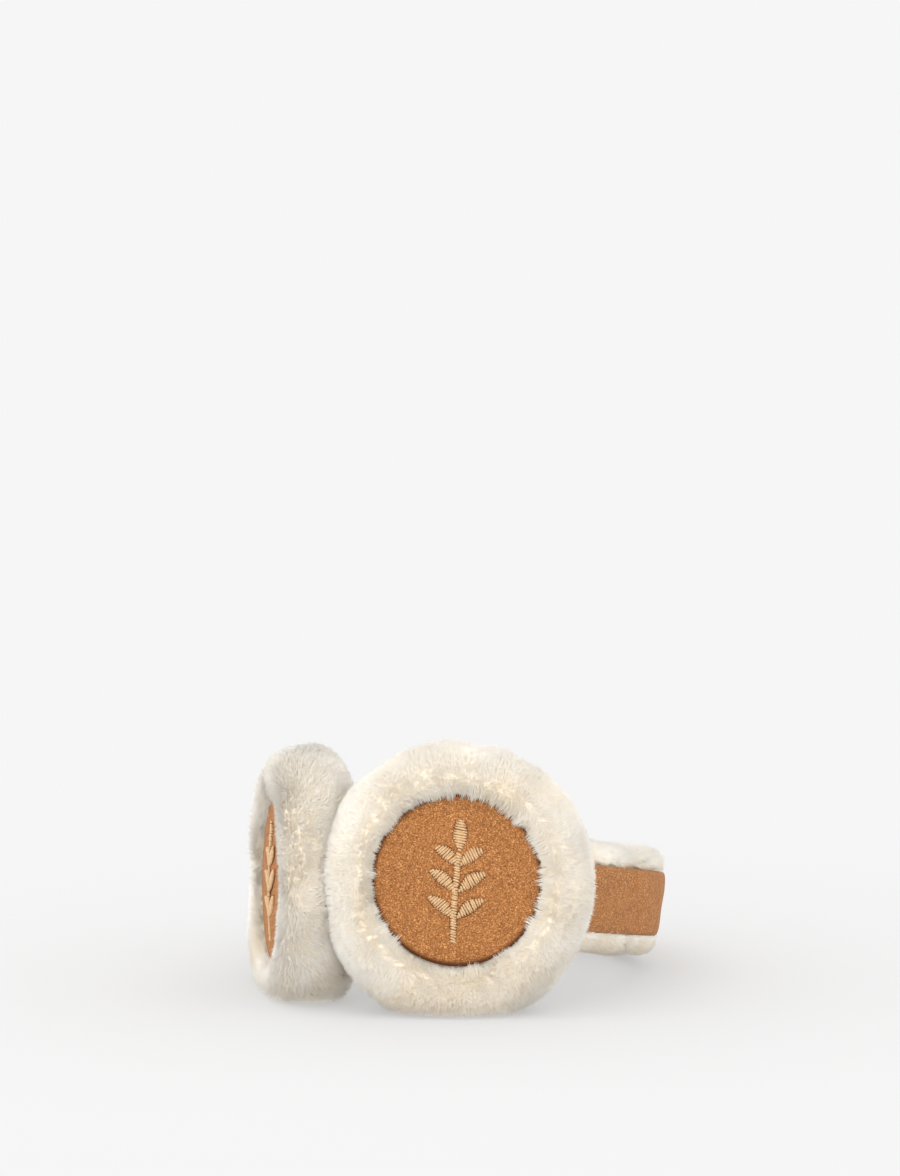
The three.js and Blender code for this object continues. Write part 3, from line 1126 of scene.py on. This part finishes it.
def stitches(pad, ends, pitch, random):
    """Tubes from one end of each stitch to the other over a half ellipse, arch * square root of (1 - t^2),
    each thinner at its ends and a little different from the next. Returns points, quads and triangles."""
    t = np.linspace(-1, 1, STITCH_STEPS)
    jitter = random.normal(size=(len(ends), 2, 2)) * NEEDLE_JITTER
    a, b = (ends[:, 0] + jitter[:, 0])[:, None], (ends[:, 1] + jitter[:, 1])[:, None]
    flat = (a + b) / 2 + (b - a) / 2 * t[None, :, None]
    height = 0.85 + 0.3 * random.random((len(ends), 1))
    arch = STITCH_ARCH * np.sqrt(np.maximum(1 - t**2, 0))[None] * height
    thick = pitch * 0.47 * (0.9 + 0.2 * random.random((len(ends), 1)))
    radii = thick * (0.35 + 0.65 * np.maximum(1 - t**4, 0))[None]
    up = np.broadcast_to(pad.axes[:, 1], (len(ends), 3))
    return tubes(on_disc(pad, flat, arch + 0.02), radii, up, STITCH_SIDES)


def needle_holes(pad, ends):
    """Shallow caps on the suede just past the stitches' ends: a ring of points, one point over it and one
    under it. Returns points and triangles."""
    past = np.tile([-0.04, 0.04], len(ends))[:, None]
    flat = ends.reshape(-1, 2) + np.repeat(ends[:, 1] - ends[:, 0], 2, 0) * past
    a = np.arange(HOLE_SIDES) * TAU / HOLE_SIDES
    ring = flat[:, None] + HOLE_SIZE * np.stack([np.cos(a), np.sin(a)], -1)
    around = np.concatenate([ring, flat[:, None], flat[:, None]], 1)
    points = on_disc(pad, around, np.array([0.03] * HOLE_SIDES + [0.12, -0.3]))
    here = np.arange(HOLE_SIDES)
    after = (here + 1) % HOLE_SIDES
    over = np.stack([here, after, np.full(HOLE_SIDES, HOLE_SIDES)], -1)
    under = np.stack([after, here, np.full(HOLE_SIDES, HOLE_SIDES + 1)], -1)
    base = (np.arange(len(flat)) * (HOLE_SIDES + 2))[:, None, None]
    return points.reshape(-1, 3), (base + np.concatenate([over, under])).reshape(-1, 3)


class EARMUFFS_OT_embroidery(bpy.types.Operator):
    """Make the satin-stitched sprig on each disc, with the needle holes at the stitches' ends"""

    bl_idname = "earmuffs.embroidery"
    bl_label = "Embroidery"

    def execute(self, context):
        pitch = context.scene.earmuffs_suede.stitch / MM
        ends = sprig(pitch)
        for number, pad in enumerate(PADS):
            random = np.random.default_rng(400 + number)
            points, quads, fans = stitches(pad, ends, pitch, random)
            hole_points, hole_faces = needle_holes(pad, ends)
            triangles = np.concatenate([fans, hole_faces + len(points)])
            piece = new_piece(
                f"{pad.side}_ear_embroidery", np.concatenate([points, hole_points]),
                [quads, triangles], material=finish_of("embroidery_thread"),
            )
            piece.data.materials.append(finish_of("needle_hole"))
            slots = np.zeros(len(piece.data.polygons), np.int32)
            slots[-len(hole_faces):] = 1
            piece.data.polygons.foreach_set("material_index", slots)
            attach(piece, "root")
        return {"FINISHED"}


class EARMUFFS_OT_studio(bpy.types.Operator):
    """Make the floor, the surroundings, the lights and the camera"""

    bl_idname = "earmuffs.studio"
    bl_label = "Studio"

    def execute(self, context):
        scene = context.scene
        look = scene.earmuffs_studio
        scene.view_settings.view_transform = "Standard"
        self.surroundings(scene, look)
        self.floor(look)
        self.lights(scene, look)
        self.camera(scene, look)
        return {"FINISHED"}

    def surroundings(self, scene, look):
        """A plain backdrop for the camera, and light that is brighter from the sides than from above."""
        finish = Finish(bpy.data.worlds.new("studio"))
        seen = finish.node("ShaderNodeLightPath", output="Is Camera Ray")
        way = finish.node("ShaderNodeTexCoord", output="Generated")
        up = finish.step(finish.node("ShaderNodeSeparateXYZ", None, {0: way}, "Z"), 0.0, 0.8)
        ambient = up * (look.zenith - look.horizon) + look.horizon
        strength = seen * (look.backdrop - ambient) + ambient
        sky = finish.node("ShaderNodeBackground", None, {"Color": (1.0, 1.0, 1.0), "Strength": strength})
        finish.node("ShaderNodeOutputWorld", None, {"Surface": sky})
        scene.world = finish.owner

    def floor(self, look):
        """A wide flat floor that fades to the surroundings' brightness away from the earmuffs."""
        points = FLOOR_HALF * np.array([[-1, -1, 0], [1, -1, 0], [1, 1, 0], [-1, 1, 0]])
        finish = new_finish("floor")
        own = finish.node("ShaderNodeTexCoord", output="Object")
        away = finish.node("ShaderNodeVectorMath", {"operation": "LENGTH"}, {0: own}, "Value")
        fade = finish.step(away, *FLOOR_FADE) * (1 - look.shadow_fill) + look.shadow_fill
        near = finish.node("ShaderNodeBsdfDiffuse", None, {"Color": (look.floor,) * 3})
        glow = {"Color": (1.0, 1.0, 1.0), "Strength": look.backdrop}
        far = finish.node("ShaderNodeEmission", None, glow)
        both = finish.node("ShaderNodeMixShader", None, {0: fade, 1: near, 2: far})
        finish.node("ShaderNodeOutputMaterial", None, {"Surface": both})
        floor = new_piece("floor", points, [np.array([[0, 1, 2, 3]])], material=finish.owner)

    def lights(self, scene, look):
        """Three soft round lights aimed at the earmuffs: name, place and size in metres, and power."""
        aim = Vector((0, 0, 0.04))
        for name, place, size, power in (
            ("overhead", (-0.35, -0.45, 1.35), 0.9, look.key),
            ("right_fill", (1.3, -0.7, 0.7), 1.1, look.key * 0.4),
            ("front_fill", (0.1, -1.65, 0.5), 1.1, look.key * 2.45),
        ):
            lamp = bpy.data.lights.new(name, "AREA")
            lamp.shape = "DISK"
            lamp.size = size
            lamp.energy = power
            light = bpy.data.objects.new(name, lamp)
            light.location = place
            light.rotation_euler = (aim - Vector(place)).to_track_quat("-Z", "Y").to_euler()
            scene.collection.objects.link(light)

    def camera(self, scene, look):
        """A long lens in front of the right disc, looking a little over the earmuffs. Its axis misses the
        disc's middle by the slopes at which it sees that to the right and down."""
        low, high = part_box("right_ear_disc")
        target = (low + high) / 2
        a, e = look.azimuth, look.elevation
        back = Vector((math.sin(a) * math.cos(e), -math.cos(a) * math.cos(e), math.sin(e)))
        lens = bpy.data.cameras.new("camera")
        lens.lens = look.lens
        lens.sensor_width = 36.0
        lens.clip_start, lens.clip_end = 0.05, 50.0
        pan, pitch = math.atan(DISC_RIGHT), math.atan(DISC_DOWN) - e
        level = Vector((-math.sin(a), math.cos(a), 0))
        right = Vector((math.cos(a), math.sin(a), 0))
        ahead = level * math.cos(pan) - right * math.sin(pan)
        right = right * math.cos(pan) + level * math.sin(pan)
        ahead = ahead * math.cos(pitch) + Vector((0, 0, math.sin(pitch)))
        up = right.cross(ahead)
        camera = bpy.data.objects.new("camera", lens)
        axes = Matrix((right, up, -ahead)).transposed().to_4x4()
        camera.matrix_world = Matrix.Translation(target + back * look.distance) @ axes
        scene.collection.objects.link(camera)
        scene.camera = camera


class EARMUFFS_PT_panel(bpy.types.Panel):
    """Buttons and settings for the earmuffs"""

    bl_idname = "EARMUFFS_PT_panel"
    bl_label = "Earmuffs"
    bl_space_type = "VIEW_3D"
    bl_region_type = "UI"
    bl_category = "Earmuffs"

    def draw(self, context):
        layout = self.layout
        for operator in OPERATORS:
            layout.operator(operator.bl_idname)
        for name, group in GROUPS.items():
            box = layout.box()
            for setting in group.__annotations__:
                box.prop(getattr(context.scene, name), setting)


GROUPS = {
    "earmuffs_fleece": EarmuffsFleece,
    "earmuffs_suede": EarmuffsSuede,
    "earmuffs_studio": EarmuffsStudio,
}
OPERATORS = (
    EARMUFFS_OT_studio,
    EARMUFFS_OT_ear_pads,
    EARMUFFS_OT_headband,
    EARMUFFS_OT_discs,
    EARMUFFS_OT_strip,
    EARMUFFS_OT_embroidery,
)


def register():
    """Makes the classes known and hangs the settings on the scene."""
    for cls in (*GROUPS.values(), *OPERATORS, EARMUFFS_PT_panel):
        bpy.utils.register_class(cls)
    for name, group in GROUPS.items():
        setattr(bpy.types.Scene, name, PointerProperty(type=group))


def unregister():
    """Takes the settings and the classes away again."""
    for name in GROUPS:
        delattr(bpy.types.Scene, name)
    for cls in reversed((*GROUPS.values(), *OPERATORS, EARMUFFS_PT_panel)):
        bpy.utils.unregister_class(cls)


def main():
    """Makes every piece in order."""
    register()
    bpy.ops.earmuffs.studio()
    bpy.ops.earmuffs.ear_pads()
    bpy.ops.earmuffs.headband()
    bpy.ops.earmuffs.discs()
    bpy.ops.earmuffs.strip()
    bpy.ops.earmuffs.embroidery()


if __name__ == "__main__":
    main()
